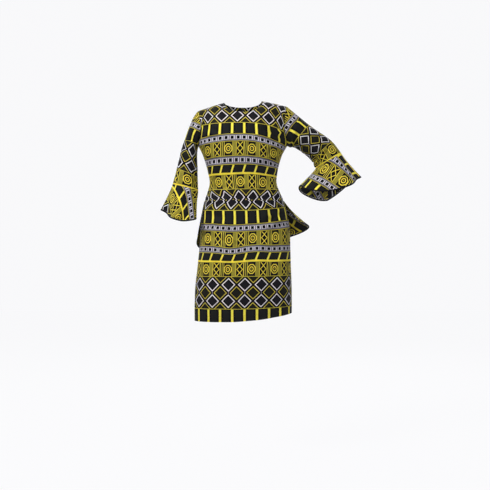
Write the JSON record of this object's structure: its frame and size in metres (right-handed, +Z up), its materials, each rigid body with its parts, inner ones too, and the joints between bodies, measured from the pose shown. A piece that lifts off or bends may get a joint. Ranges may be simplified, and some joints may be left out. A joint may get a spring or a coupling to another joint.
{
  "type": "ankara wax print dress",
  "caption": "Fitted knee-length wax print dress with round neck, three quarter sleeves with bell flounces, and a flared back peplum, held in its worn shape.",
  "frame": {"origin": "between the tops of the two shoulder seams, level with the wearer's left neck point, where the shoulders carry the dress", "axes": "+Z up the body, -Y out of the front, +X to the wearer's left"},
  "size_m": [0.8414, 0.3532, 0.92],
  "materials": {
    "wax_print_cotton": "matt printed cotton",
    "black_binding": "matt",
    "zip_tape": "matt",
    "zip_metal": "satin"
  },
  "bodies": {
    "dress": {"front_bodice": "wax_print_cotton", "back_bodice_left": "wax_print_cotton", "back_bodice_right": "wax_print_cotton", "front_skirt": "wax_print_cotton", "back_skirt_left": "wax_print_cotton", "back_skirt_right": "wax_print_cotton", "peplum_left": "wax_print_cotton", "peplum_right": "wax_print_cotton", "sleeve_left": "wax_print_cotton", "sleeve_right": "wax_print_cotton", "cuff_flounce_left": "wax_print_cotton", "cuff_flounce_right": "wax_print_cotton", "cuff_binding_left": "black_binding", "cuff_binding_right": "black_binding", "peplum_binding_left": "black_binding", "peplum_binding_right": "black_binding", "zip_chain": "zip_tape", "zip_slider": "zip_metal"},
    "pull_tab": {"zip_pull_tab": "zip_metal"}
  },
  "joints": [
    {"name": "zip_tab_swing", "type": "hinge", "parent": "dress", "child": "pull_tab", "pos_m": [0.00397, 0.07536, -0.02488], "axis": [1, 0, 0], "range_deg": [0, 160]}
  ]
}
